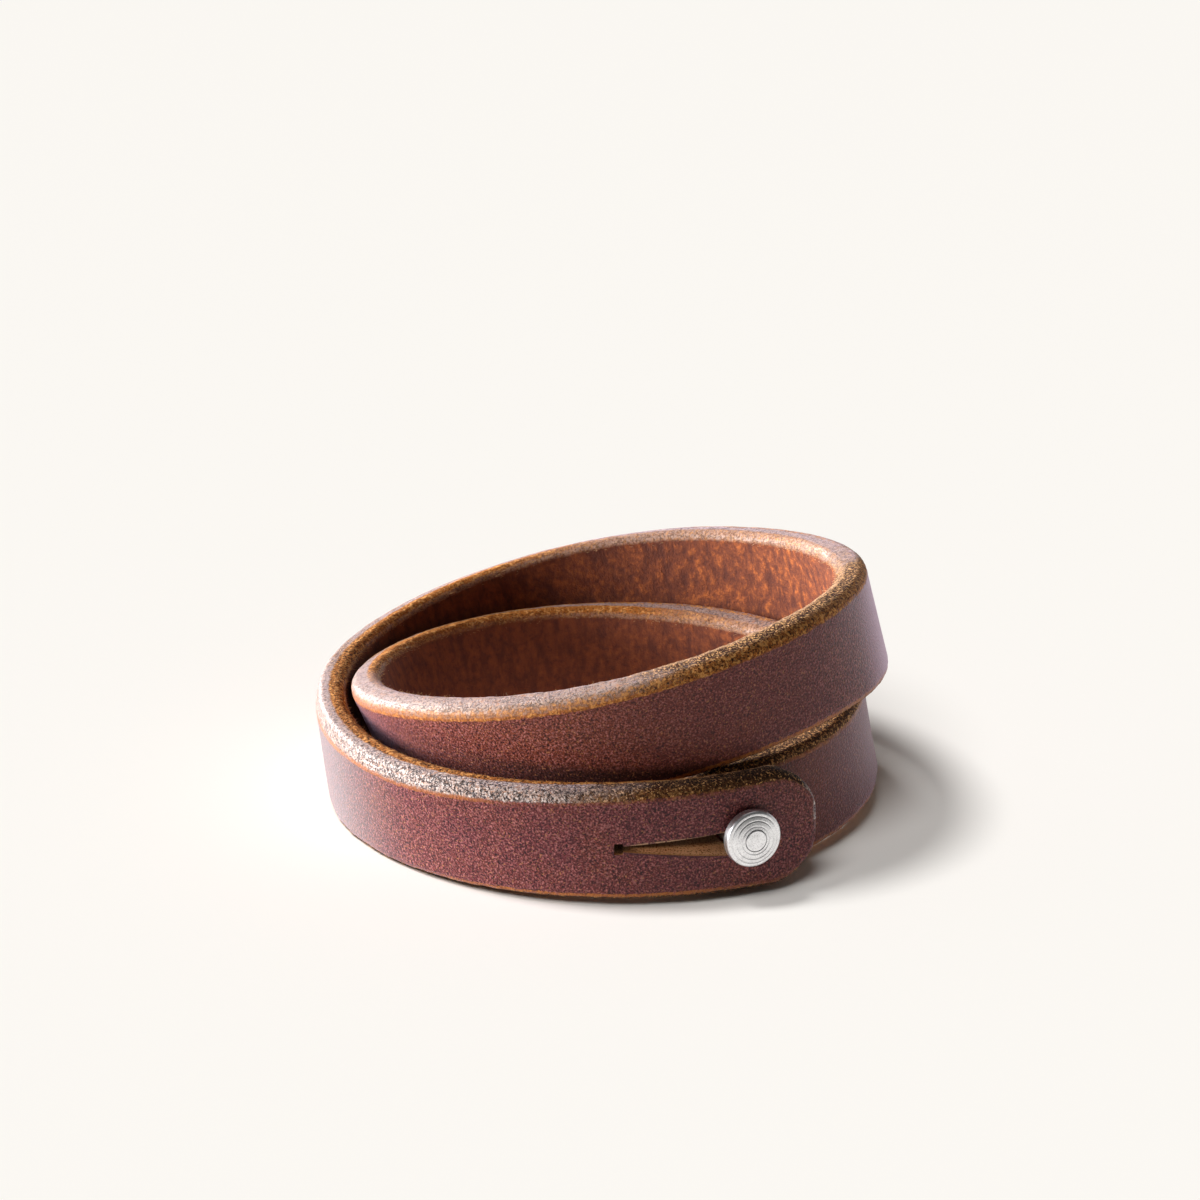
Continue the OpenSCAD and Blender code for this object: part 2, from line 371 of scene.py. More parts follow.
def strapLift(points, s, fromEnd, band, drop, polish):
    # how far the leather stands out of the plain section: domed edges, less the tool line and the worn
    # corner, plus long waves, the foot that hangs over the inner end, and dents, lower where it is polished
    body = np.clip(fromEnd / strap["edgeRound"], 0, 1)[:, None]
    way = abs(band)
    onEdge = np.clip(1 - abs(way - edgeMiddle) / (edgeMiddle - faceEnd), 0, 1)
    lift = strap["crown"] * onEdge ** strap["crownPower"] * body
    lift = lift - strap["groove"] * bell(way - faceEnd - strap["grooveAt"], strap["grooveWide"]) * body
    lift = lift - strap["bevel"] * drop * bell(band - faceEnd - strap["bevelAt"], strap["bevelWide"])
    for size, height, seed in strap["waves"]:
        lift = lift + height * cloud(points, size, seed)
    over = bell(s - strap["sagPlace"], strap["sagLength"])[:, None]
    sag = over * np.clip(-band - faceEnd, 0, 1) * (band > -fleshStart)
    lift = lift + strap["sag"] * sag
    small = sum(share * cloud(points, size, seed) for size, share, seed in strap["dents"])
    grow, fade = strap["innerCorner"]
    innerCorner = np.clip((way - edgeMiddle) / grow, 0, 1) * np.clip((fleshStart + fade - way) / fade, 0, 1)
    raw = 1 - polish * (band > 0)
    rough = strap["wear"] * (strap["wearLeast"] + raw + innerCorner) * (onEdge > 0)
    rough = rough + strap["nap"] * np.clip(way - fleshStart, 0, 1)
    return lift + rough * small


def seamed(grid):
    # the first column again after the last, so that a map goes on up to the seam
    return np.concatenate([grid, grid[:, :1]], 1)


def makeStrap(materials):
    # the section carried along the path of the strap and moved out along its own direction by its lift
    s = strapStations()
    fromEnd = np.minimum(s, strapLength - s)
    out, up, nx, ny, band = strapSection(fromEnd)
    angle = angleAt(s)
    wear = [np.interp(angle, wearRows[:, 0], column)[:, None] for column in wearRows.T[1:]]
    drop, polish, gold, line, foot, inner = wear
    angle = angle[:, None] + 0 * out
    points = onStrap(angle, out, up)
    _, outward, upward = frameAt(angle)
    normal = nx[None, :, None] * outward + ny[None, :, None] * upward
    points = points + normal * strapLift(points, s, fromEnd, band, drop, polish)[..., None]
    points[..., 2] = np.maximum(points[..., 2], 0)
    rings, count = out.shape
    quads, ring, point = gridFaces(rings, count)
    tips = np.stack([points[0].mean(0), points[-1].mean(0)])
    faces = quads.tolist() + tipFaces(rings, count)
    piece = addMesh("leather_strap", np.concatenate([points.reshape(-1, 3), tips]), faces, materials)
    # maps: length and band; out and up in the section; polish and distance of the slit; thin line and golden
    # band; raw border on the flesh side and drop of the grain
    band = np.concatenate([band, -band[:, :1]], 1)
    length = np.repeat(s[:, None], count + 1, 1)
    upper = band > 0
    maps = {
        "skin": (length, band),
        "place": (seamed(out), seamed(up)),
        "wear": (polish * np.where(upper, 1, footWear["polish"]), slitDistance(length, seamed(up))),
        "trim": (np.where(upper, line, foot), gold * upper),
        "border": (np.where(upper, inner, footWear["inner"]), drop * upper),
    }
    j = np.arange(count)
    for name, (u, v) in maps.items():
        grid = np.stack([u, v], -1)
        corners = [grid[ring, point].reshape(-1, 2)]
        for row, first, second in ((0, 1, 0), (rings - 1, 0, 1)):
            tip = [u[row].mean(), edgeMiddle if name == "skin" else v[row].mean()]
            fan = np.stack([np.repeat([tip], count, 0), grid[row, j + first], grid[row, j + second]], 1)
            corners.append(fan.reshape(-1, 2))
        addMap(piece, name, np.concatenate(corners))
    return piece


def studFrame():
    # the outer layer's middle at the stud, and the stud's axes: sideways, up the width, out of the grain
    angle = np.array(hole["angle"])
    _, outward, upward = frameAt(angle)
    return middle(angle), np.cross(upward, outward), upward, outward


def onStud(points):
    # points given along the stud's axes, moved to its place
    origin, side, upward, outward = studFrame()
    return origin + points[..., :1] * side + points[..., 1:2] * upward + points[..., 2:3] * outward


def makeCutter(name, points, maps, material):
    # a closed prism from rings of points: walls between the rings and one face over each end
    rings, count = points.shape[:2]
    quads, ring, point = gridFaces(rings, count)
    ends = [list(range(count))[::-1], [(rings - 1) * count + j for j in range(count)]]
    piece = addMesh(name, points.reshape(-1, 3), quads.tolist() + ends, [material])
    for mapName, values in maps.items():
        grid = np.stack(values, -1)
        walls = grid[ring, point % count].reshape(-1, 2)
        addMap(piece, mapName, np.concatenate([walls, grid[0, ::-1], grid[-1]]))
    return piece


def makeSlitCutter(material):
    # a prism that follows the strap between its two lips, with a small cross cut at its end
    share = np.linspace(0, 1, hole["slitSteps"])
    length = hole["slitLength"] - hole["nickLength"]
    s = np.concatenate([share * length, [length + hole["nickStep"], hole["slitLength"]]])
    nickMiddle = (hole["upperLip"][1] - hole["lowerLip"][1]) / 2
    high = np.concatenate([lipAt("upperLip", share), [hole["nickHeight"] / 2 + nickMiddle] * 2])
    low = np.concatenate([lipAt("lowerLip", share), [hole["nickHeight"] / 2 - nickMiddle] * 2])
    depth = np.linspace(-halfThick - hole["overcut"], halfThick + hole["reach"], hole["depthSteps"])
    out = np.concatenate([depth, depth[::-1]])[None, :] + 0 * low[:, None]
    cutShade = np.clip(halfThick - depth, 0, None)[None, :]
    swell = np.minimum(hole["swell"] * cutShade, hole["swellMost"] * (low + high)[:, None])
    up = np.concatenate([swell - low[:, None], np.repeat(high[:, None], hole["depthSteps"], 1)], 1)
    points = onStrap(angleAt(studLength + s)[:, None] + 0 * out, out, up)
    s = s[:, None] + 0 * out + studLength
    return makeCutter("slit_cutter", points, {"skin": (s, 0 * s), "place": (out, up)}, material)


def makeBoreCutter(name, diameter, low, high, material):
    # a cylinder on the stud's axis, in a few rings so that its map runs evenly
    height = np.linspace(low, high, hole["boreRings"])
    turn = np.linspace(0, 2 * np.pi, hole["boreSides"], endpoint=False)
    x = diameter / 2 * np.cos(turn)[None, :] + 0 * height[:, None]
    y = diameter / 2 * np.sin(turn)[None, :] + 0 * height[:, None]
    z = height[:, None] + 0 * x
    return makeCutter(name, onStud(np.stack([x, y, z], -1)), {"skin": (x, 0 * x), "place": (z, y)}, material)


def carve(piece, cutters):
    # takes the cutters out of the piece and keeps the result as its mesh
    for cutter in cutters:
        carving = piece.modifiers.new(cutter.name, "BOOLEAN")
        carving.operation = "DIFFERENCE"
        carving.solver = "EXACT"
        carving.material_mode = "TRANSFER"
        carving.object = cutter
    graph = bpy.context.evaluated_depsgraph_get()
    carved = bpy.data.meshes.new_from_object(
        piece.evaluated_get(graph), preserve_all_data_layers=True, depsgraph=graph
    )
    piece.modifiers.clear()
    whole = piece.data
    piece.data = carved
    bpy.data.meshes.remove(whole)
    carved.name = piece.name
    carved.set_sharp_from_angle(angle=radians(strap["sharpAngle"]))
    for cutter in cutters:
        bpy.data.objects.remove(cutter)


# The turned stud, in mm; its main sizes and gaps are the part's own
stud = {
    "head": 6.3,
    "height": 1.8,
    "dome": 0.6,
    "neck": 4.2,
    "post": 2.4,
    "back": 8.0,
    "backThick": 1.0,
    "headGap": 0.2,
    "backGap": 0.4,
    "stemGap": 0.05,
    "gap": 0.1,
    "rim": 0.35,
    "chamfer": 0.03,  # at the bore
    "grooves": (0.5, 0.68, 0.84),  # shares of the head's radius
    "grooveWide": 0.16,
    "grooveDeep": 0.06,
    "turning": 0.13,  # mm between the fine marks of the lathe tool
    "turningDeep": 0.006,
    "turningSwing": 9.1,  # radians for each mm of its wider passes
    "endTurning": 0.7,  # share of the marks on the post's end
    "endDome": 0.03,
    "endBorder": ((0.0, 0.12), (0.03, 0.07)),  # how far in and how far under the top the end's border lies
    "endInset": 0.1,  # where its marks begin
    "ringStep": 0.0217,  # mm between the rings of the dome and the end
    "ringGap": 0.02,  # from the rim or the axis to the first or last of them
    "rimSteps": (10, 14),  # rings in the rim's lower and upper rounding
    "backSteps": 19,  # rings in the rounding of the back disc
    "sides": 160,
    "sharpAngle": 35,  # degrees
}
headLow = halfThick + stud["headGap"]
headTop = headLow + stud["height"]


def domeAt(x):
    # height of the low dome over the head's foot: part of a sphere through the rim
    half = stud["head"] / 2
    r = (half**2 + stud["dome"] ** 2) / (2 * stud["dome"])
    return stud["height"] - r + np.sqrt(r * r - x * x)


def innerMiddle():
    # where the stud's axis meets the middle of the inner layer, two turns further on
    origin, _, _, outward = studFrame()
    return float((middle(np.array(hole["angle"] + 2 * 360)) - origin) @ outward)


def makeTurned(name, radius, height, material):
    # a profile of radius and height turned once round the stud's axis: a closed loop, or a line from the
    # axis back to the axis. Its map gives the shares of the turn and of the profile.
    count = stud["sides"]
    turn = np.linspace(0, 2 * np.pi, count, endpoint=False)
    closed = bool(radius[0] > 0)
    rings = np.stack([radius, height], 1)
    if not closed:
        rings = rings[1:-1]
    x = rings[:, :1] * np.cos(turn)
    y = rings[:, :1] * np.sin(turn)
    points = np.stack([x, y, rings[:, 1:] + 0 * x], -1).reshape(-1, 3)
    quads, ring, point = gridFaces(len(rings) + closed, count)  # a loop comes back to its first ring
    faces = (quads % len(points)).tolist()
    maps = [np.stack([point / count, ring / len(rings)], -1).reshape(-1, 2)]
    if not closed:
        points = np.concatenate([points, [[0, 0, height[0]], [0, 0, height[-1]]]])
        faces += tipFaces(len(rings), count)
        j = np.arange(count)
        for share, first, second in ((0, 1, 0), (1, 0, 1)):
            turned = np.stack([j + 0.5, j + first, j + second], -1) / count
            maps.append(np.stack([turned, 0 * turned + share], -1).reshape(-1, 2))
    piece = addMesh(name, onStud(points), faces, [material])
    addMap(piece, "turned", np.concatenate(maps))
    piece.data.set_sharp_from_angle(angle=radians(stud["sharpAngle"]))
    return piece


def toolMarks(x):
    # the lathe's fine spiral as a cosine over the radius, deeper and shallower in a few wider passes
    marks = -stud["turningDeep"] * (1 + np.cos(2 * np.pi * x / stud["turning"]))
    return marks * (0.6 + 0.4 * np.cos(x * stud["turningSwing"]))


def arc(cx, cz, r, start, end, steps):
    # part of a circle round a middle, between two angles in degrees
    turn = np.radians(np.linspace(start, end, steps))
    return cx + r * np.cos(turn), cz + r * np.sin(turn)


def makeHead(material):
    # foot, rounded rim, then the dome with its grooves and tool marks down to the bore
    half = stud["head"] / 2
    rim = stud["rim"]
    chamfer = stud["chamfer"]
    bore = stud["post"] / 2 + stud["stemGap"]
    rimTop = float(domeAt(half - rim))
    lowX, lowZ = arc(half - rim, rim, rim, -90, 0, stud["rimSteps"][0])
    highX, highZ = arc(half - rim, rimTop - rim, rim, 0, 90, stud["rimSteps"][1])
    x = np.arange(half - rim - stud["ringGap"], bore + 2 * chamfer, -stud["ringStep"])
    z = domeAt(x) + toolMarks(x)
    for share in stud["grooves"]:
        z = z - stud["grooveDeep"] * np.clip(1 - abs(x - share * half) / (stud["grooveWide"] / 2), 0, 1)
    radius = np.concatenate([[bore], lowX, highX, x, [bore + chamfer, bore]])
    height = np.concatenate([[0.0], lowZ, highZ, z, [domeAt(bore + chamfer), domeAt(bore) - chamfer]])
    return makeTurned("stud_head", radius, height + headLow, material)


def makePost(material):
    # back disc, stem, neck and the thin end with its own tool marks, which shows in the head
    inner = innerMiddle()
    neckLow = inner + halfThick + stud["gap"]
    neckHigh = headLow - stud["gap"]
    backLow = inner - halfThick - stud["backGap"] - stud["backThick"]
    r = stud["backThick"] / 2
    post = stud["post"] / 2
    neck = stud["neck"] / 2
    discX, discZ = arc(stud["back"] / 2 - r, backLow + r, r, -90, 90, stud["backSteps"])
    borderIn, borderDown = np.array(stud["endBorder"]).T
    endX = np.arange(post - stud["endInset"], stud["ringGap"], -stud["ringStep"])
    endZ = headTop - stud["endDome"] * (endX / post) ** 2 + stud["endTurning"] * toolMarks(endX)
    stem = [post, post, neck, neck, post]
    stemZ = [backLow + 2 * r, neckLow, neckLow, neckHigh, neckHigh]
    radius = np.concatenate([[0, discX[0] * 0.5], discX, stem, post - borderIn, endX, [0]])
    height = np.concatenate([[backLow, backLow], discZ, stemZ, headTop - borderDown, endZ, [headTop]])
    return makeTurned("stud_post_turned", radius, height, material)


class Wire:
    # one socket of a material, so that shader maths reads as plain expressions
    def __init__(self, tree, socket=None):
        self.tree = tree
        self.socket = socket

    def node(self, kind, settings=None, sockets=None, output=0):
        # a new node: its settings first, then the values or links of its sockets
        made = self.tree.nodes.new("ShaderNode" + kind)
        for name, value in (settings or {}).items():
            setattr(made, name, value)
        for name, value in (sockets or {}).items():
            if isinstance(value, Wire):
                self.tree.links.new(value.socket, made.inputs[name])
            else:
                made.inputs[name].default_value = value
        return Wire(self.tree, made.outputs[output] if made.outputs else None)

    def maths(self, operation, *values):
        return self.node("Math", {"operation": operation}, dict(enumerate(values)))

    def __add__(self, other):
        return self.maths("ADD", self, other)

    def __sub__(self, other):
        return self.maths("SUBTRACT", self, other)

    def __rsub__(self, other):
        return self.maths("SUBTRACT", other, self)

    def __mul__(self, other):
        return self.maths("MULTIPLY", self, other)

    def __truediv__(self, other):
        return self.maths("DIVIDE", self, other)

    def __rtruediv__(self, other):
        return self.maths("DIVIDE", other, self)

    def __abs__(self):
        return self.maths("ABSOLUTE", self)

    __radd__ = __add__
    __rmul__ = __mul__

    def least(self, other):
        return self.maths("MINIMUM", self, other)

    def most(self, other):
        return self.maths("MAXIMUM", self, other)

    def ramp(self, low, high):
        # 0 below low and 1 above high, with a smooth step between; the other way round if low is over high
        values = {"Value": self, "From Min": min(low, high), "From Max": max(low, high)}
        values.update({"To Min": float(low > high), "To Max": float(low < high)})
        return self.node("MapRange", {"interpolation_type": "SMOOTHSTEP"}, values)

    def within(self, numbers):
        # a ramp from the first number to the second and, out of four, down from the third to the fourth
        rise = self.ramp(numbers[0], numbers[1])
        return rise * self.ramp(numbers[3], numbers[2]) if len(numbers) == 4 else rise

    def mix(self, a, b):
        # the colour a where this is 0 and b where it is 1, through the node's colour sockets
        return self.node("Mix", {"data_type": "RGBA"}, {0: self, 6: a, 7: b}, 2)

    def part(self, axis):
        # one of the three numbers of this vector
        return self.node("SeparateXYZ", {}, {"Vector": self}, axis)

    def pair(self, name):
        # the two numbers of one of the piece's own maps
        both = self.node("UVMap", {"uv_map": name})
        return both.part("X"), both.part("Y")

    def noise(self, size, detail=2.0, roughness=0.5, scale=mm):
        # noise from 0 to 1 with blobs of about that size in mm, or in the units of another scale
        values = {"Vector": self, "Scale": 1 / (size * scale), "Detail": detail, "Roughness": roughness}
        return self.node("TexNoise", {}, values)

    def cells(self, size, feature="F1"):
        # distance from the middles or the borders of random cells of about that many mm
        return self.node("TexVoronoi", {"feature": feature}, {"Vector": self, "Scale": 1 / (size * mm)})

    def bump(self, distance, strength):
        # a normal raised by this height, given in shares of the distance in mm
        return self.node("Bump", {}, {"Height": self, "Distance": distance * mm, "Strength": strength})


def colour(text):
    # a colour written as in a paint program, in the linear values that the shader takes
    parts = [int(text[i : i + 2], 16) / 255 for i in (0, 2, 4)]
    return (*[p / 12.92 if p <= 0.04045 else ((p + 0.055) / 1.055) ** 2.4 for p in parts], 1.0)


def startMaterial(name):
    # an empty material and the start of its nodes
    material = bpy.data.materials.new(name)
    material.use_nodes = True
    material.node_tree.nodes.clear()
    return material, Wire(material.node_tree)


def finishMaterial(start, sockets):
    # one surface shader with fixed values and links, joined to the output
    start.node("OutputMaterial", {}, {"Surface": start.node("BsdfPrincipled", {}, sockets)})


rawShine = {"Roughness": 0.85, "IOR": 1.2}  # leather without a finish
leather = {
    "colours": {
        "grain": "6c2a2f",
        "grainDark": "260d14",
        "grainRed": "7a3821",
        "grainPale": "b87672",
        "grainSheenRight": "b48ca6",
        "grainSheenLeft": "848f8b",
        "grainShaded": "541618",
        "speck": "b87c50",
        "line": "a8642c",
        "burnished": "ab9186",
        "burnishedHighlight": "f0e4e0",
        "burnishedBrown": "8c6c54",
        "poreAndShade": "1a100c",
        "raw": "5e3a2a",
        "fleck": "e0aa70",
        "fringe": "c89c78",
        "gold": "a8642a",
        "goldDark": "2a160a",
        "goldPale": "dc9e5c",
        "flesh": "78422e",
        "fleshDark": "4c2d29",
        "fleshLight": "c4703a",
    },
    "pebbleSize": 0.30,
    "crackSize": 0.55,
    "noises": {  # size in mm, detail, roughness
        "fine": (0.21, 2.0, 0.6),
        "mottle": (5.0, 3.0, 0.55),
        "specks": (0.26, 1.0, 0.5),
        "wobble": (1.0, 3.0, 0.65),
        "grit": (0.24, 3.0, 0.75),
        "tufts": (0.45, 3.0, 0.7),
        "patches": (2.2, 3.0, 0.6),
        "pores": (0.30, 3.0, 0.75),
        "crackBreaks": (0.8, 2.0, 0.5),
        "fleck": (0.25, 3.0, 0.62),
        "nap": (0.8, 4.0, 0.7),
    },
    "stretches": {  # mm along the strap from its outer end, from nothing to full and down again
        "tab": (32.0, 12.0),
        "afterTab": (32.0, 70.0),
        "frontEdge": (62.0, 44.0),
        "farLeft": (44.0, 62.0, 80.0, 100.0),
        "browner": (70.0, 200.0),
        "lowBack": (80.0, 95.0, 150.0, 165.0),
        "litFleshBack": (95.0, 145.0, 200.0, 230.0),
        "farRight": (140.0, 160.0, 169.0, 181.0),
        "shaded": (183.0, 192.0, 202.0, 216.0),
        "brown": (183.0, 212.0, 325.0, 340.0),
        "close": (188.0, 200.0, 214.0, 240.0),
        "highBack": (255.0, 268.0, 330.0, 345.0),
        "litFleshEnd": (285.0, 330.0),
        "shadedEnd": (325.0, 342.0),
        "brownEnd": (349.0, 360.0),
    },
    "closeHeight": (15.2, 13.5),  # mm over the table below which painted shade darkens the upper pass, where it stands behind the lower one
    "bands": {  # mm round the section from the middle of the grain, from nothing to full and down again
        "gold": (5.10, 5.30),
        "line": (5.12, 5.27),
        "edge": (5.45, 5.75),
        "goldEnd": (7.0, 6.2),
        "fringe": (8.0, 8.3, 8.6, 9.0),
        "flesh": (9.3, 10.1),
        "innerEnd": (10.0, 9.1),
    },
    "wobble": 0.5,  # how far the borders of the bands waver, in mm
    "footShift": 0.4,  # how much further out they lie at the foot
    "lineEnd": 5.40,  # where the thin line ends when it has no strength
    "lineWide": 0.85,  # how much further it reaches at full strength
    "lineSoft": (-0.12, 0.12),
    "goldBehind": 0.7,  # how much further the golden band reaches at the back
    "innerStart": 8.45,  # where the raw border on the flesh side starts when it has no strength
    "innerSoft": (-0.15, 0.25),
    "streaks": (0.9, 0.36, 5.0, 0.65),  # how often they change along and up the strap, detail, roughness
    "lip": (0.25, 0.02),  # mm from the slit: its dark border
    "lipFringe": (0.16, 0.08),  # the pale fringe on its upper lip
    "relief": (0.08, 0.9),  # mm and strength
    "rawRelief": (0.10, 0.9),
    "grainRoughness": 0.44,
    "edgeRoughness": 0.42,
    "hideShine": {
        "IOR": 1.30,
        "Sheen Weight": 0.45,
        "Sheen Roughness": 0.3,
        "Sheen Tint": colour("dcc8ec"),
        "Coat Roughness": 0.34,
        "Coat IOR": 1.5,
    },
}


def grainPaint(c, noise, along, valleys, height):
    # pale pebbles with dark valleys, partly the grain's own colour and partly painted highlight and shade on
    # its relief;
    # a slow mottle and a few orange specks; painted sheen at the far left and right; painted shade where the
    # passes shade each other and low behind the lower pass
    fine = noise["fine"]
    brown = along["brown"].most(along["brownEnd"])
    browner = (noise["mottle"].ramp(0.38, 0.72) * 0.5 + brown * 0.85).least(1.0)
    grain = browner.mix(c["grain"], c["grainRed"])
    # pale pebble tops and dark valleys: partly the grain's own colour, partly painted highlight and shade of
    # its relief
    grain = (fine.ramp(0.50, 0.64) * 0.65).mix(grain, c["grainPale"])
    grain = (valleys * 0.4 + fine.ramp(0.50, 0.36) * 0.6).mix(grain, c["grainDark"])
    # painted sheen: the grain paler towards the far left and far right silhouettes
    grain = (along["farLeft"] * 0.4).mix(grain, c["grainSheenLeft"])
    grain = (along["farRight"] * 0.85).mix(grain, c["grainSheenRight"])
    # painted shade: darker where the passes shade each other
    passShade = (along["shaded"] * 0.3).most(along["shadedEnd"] * 0.5)
    grain = passShade.mix(grain, c["grainShaded"])
    # painted shade: nearly black low on the upper pass, where it stands behind the lower one
    close = height.within(leather["closeHeight"]) * along["close"]
    grain = (close * 0.75).mix(grain, c["poreAndShade"])
    return (noise["specks"].ramp(0.64, 0.72) * 0.5).mix(grain, c["speck"])


def edgePaint(c, noise, along, at, polish, dents):
    # burnished and cracked, with dark pores; where it isn't burnished, dark fibres with golden flecks
    tufts = noise["tufts"]
    fleck = noise["fleck"]
    raw = (noise["grit"].ramp(0.38, 0.56) * (1 - along["tab"] * 0.55)).mix(c["poreAndShade"], c["raw"])
    raw = (fleck - along["tab"] * 0.03).ramp(0.52, 0.58).mix(raw, c["fleck"])
    fringe = at.within(leather["bands"]["fringe"]) * (1 - polish)
    raw = (fringe * tufts.ramp(0.35, 0.5) * 0.7).mix(raw, c["fringe"])
    # the burnished colour is paler than the leather partly as a painted highlight, less so where it is
    # browner; on the front edge the near-white flecks are painted highlight
    burnished = (along["browner"] * 0.35).mix(c["burnished"], c["burnishedBrown"])
    burnished = (tufts.ramp(0.50, 0.66) * 0.6).mix(burnished, c["gold"])
    burnished = (fleck.ramp(0.50, 0.62) * along["frontEdge"] * 0.7).mix(burnished, c["burnishedHighlight"])
    return dents.mix(polish.mix(raw, burnished), c["poreAndShade"])


def fleshPaint(c, nap, along, streaks):
    # soft streaks across the width, dark in places, and painted light: the nap lighter along the back and
    # right, where light falls on the flesh side
    # painted light: how much lighter nap there is where light falls on the flesh side
    litFlesh = along["litFleshBack"].most(along["litFleshEnd"]) * 0.6 + 0.1
    flesh = (streaks.ramp(0.30, 0.62) * 0.7 + 0.3).mix(c["fleshDark"], c["flesh"])
    flesh = (nap.ramp(0.46, 0.70) * litFlesh * streaks.ramp(0.35, 0.60)).mix(flesh, c["fleshLight"])
    return (nap.ramp(0.48, 0.34) * 0.55).mix(flesh, c["fleshDark"])


def leatherMaterial():
    # the hide with its grain and burnished edge, mixed with the raw leather of the flesh side and borders
    material, start = startMaterial("leather")
    spot = start.node("TexCoord", output="Object")
    length, band = start.pair("skin")
    out, up = start.pair("place")
    polished, slit = start.pair("wear")
    line, golden = start.pair("trim")
    inner, drop = start.pair("border")
    c = {name: colour(value) for name, value in leather["colours"].items()}
    noise = {name: spot.noise(*numbers) for name, numbers in leather["noises"].items()}
    along = {name: length.within(numbers) for name, numbers in leather["stretches"].items()}
    bands = leather["bands"]
    fine, grit, tufts, nap = [noise[name] for name in ("fine", "grit", "tufts", "nap")]
    valleys = spot.cells(leather["pebbleSize"]).ramp(0.28, 0.62)
    # bands over the edge, each with a wavering border; at the back the golden one reaches over the rounding
    at = abs(band) + (noise["wobble"] - 0.5) * leather["wobble"]
    worn = at + drop - band.ramp(0.0, -1.0) * leather["footShift"]
    onEdge = worn.within(bands["edge"])
    broken = tufts.ramp(0.38, 0.55)
    lineWide = (leather["lineEnd"] + line * leather["lineWide"] - worn).within(leather["lineSoft"])
    onLine = worn.within(bands["line"]) * lineWide * (broken * 0.6 + 0.4) * line.ramp(0.0, 0.6)
    behind = along["lowBack"].most(along["highBack"])
    goldEnd = (worn - behind * leather["goldBehind"]).within(bands["goldEnd"])
    onGold = worn.within(bands["gold"]) * goldEnd * golden * (broken * 0.5 + 0.5)
    innerStart = (at + inner - leather["innerStart"]).within(leather["innerSoft"])
    onInner = innerStart * at.within(bands["innerEnd"]) * inner.ramp(0.0, 0.4)
    onFlesh = at.within(bands["flesh"])
    polish = (polished + (noise["patches"] - 0.5) * 0.7).ramp(0.25, 0.75)
    cracks = spot.cells(leather["crackSize"], "DISTANCE_TO_EDGE").ramp(0.09, 0.02)
    cracks = cracks * noise["crackBreaks"].ramp(0.42, 0.58)
    dents = noise["pores"].ramp(0.50, 0.42).most(cracks) * (0.95 - along["afterTab"] * 0.3)
    grain = grainPaint(c, noise, along, valleys, spot.part("Z") / mm)
    edge = edgePaint(c, noise, along, at, polish, dents)
    gold = (grit.ramp(0.42, 0.56) + behind * 0.4).least(1.0).mix(c["goldDark"], c["gold"])
    gold = (tufts.ramp(0.50, 0.62) * 0.8).mix(gold, c["goldPale"])
    often = leather["streaks"]
    streaked = start.node("CombineXYZ", {}, {0: length * often[0], 1: up * often[1], 2: out})
    streaks = streaked.noise(1.0, *often[2:], scale=1.0)
    flesh = fleshPaint(c, nap, along, streaks)
    # hide: grain up to the edge, with the thin line, the slit's dark border and the fringe on its upper lip
    hide = onLine.mix(onEdge.mix(grain, edge), c["line"])
    lip = slit.within(leather["lip"]) * (1 - onEdge)
    hide = (lip * 0.6).mix(hide, c["grainDark"])
    rim = slit.within(leather["lipFringe"]) * up.ramp(0.0, 0.3) * tufts.ramp(0.40, 0.52) * (1 - onEdge)
    hide = (rim * 0.8).mix(hide, c["fringe"])
    bare = onInner.mix(onFlesh.mix(gold, flesh), gold)
    bare = (onEdge * (1 - onFlesh) * (1 - onInner) * (1 - onGold)).mix(bare, edge)
    # shine: the polished edge most, the grain softly, raw leather hardly
    shine = onEdge * polish * (1 - dents)
    rough = leather["grainRoughness"] + (fine - 0.5) * 0.2 + dents * onEdge * 0.3
    rough = rough + shine * (leather["edgeRoughness"] - leather["grainRoughness"])
    relief = (fine * 0.9 - valleys * 0.35) * (1 - onEdge)
    relief = relief + onEdge * (grit * (1.5 - polish) - dents * 1.3)
    fibres = grit * 1.3 + nap * 1.2 + streaks * onFlesh
    hideLook = start.node("BsdfPrincipled", {}, {
        **leather["hideShine"],
        "Base Color": hide,
        "Roughness": rough,
        "Coat Weight": shine * 0.3 + (1 - onEdge) * 0.06,
        "Normal": relief.bump(*leather["relief"]),
    })
    rawLook = start.node("BsdfPrincipled", {}, {
        **rawShine,
        "Base Color": bare,
        "Normal": fibres.bump(*leather["rawRelief"]),
    })
    rawness = (onFlesh + onInner + onGold + onEdge * (1 - polish)).least(1.0)
    both = start.node("MixShader", {}, {0: rawness, 1: hideLook, 2: rawLook})
    start.node("OutputMaterial", {}, {"Surface": both})
    return material


cut = {
    # fibre colours, paler than cut leather partly as painted light on a wall that the lamps hardly reach
    "dark": "a0643e",
    "pale": "ffd0a0",
    # colour of the painted shade in the depth of the cut
    "cutShade": "1e100a",
    "rim": "c88c58",
    "fibres": (0.2, 3.0, 0.7),  # size in mm, detail, roughness
    "depth": (1.4, -1.4),  # mm out from the middle of the leather over which painted shade darkens the wall, from light to dark
    "rimDepth": (1.30, 1.70),
    "nickFade": 2.5,  # mm over which painted shade darkens it before the cross cut
    "relief": (0.12, 0.9),  # mm and strength
}


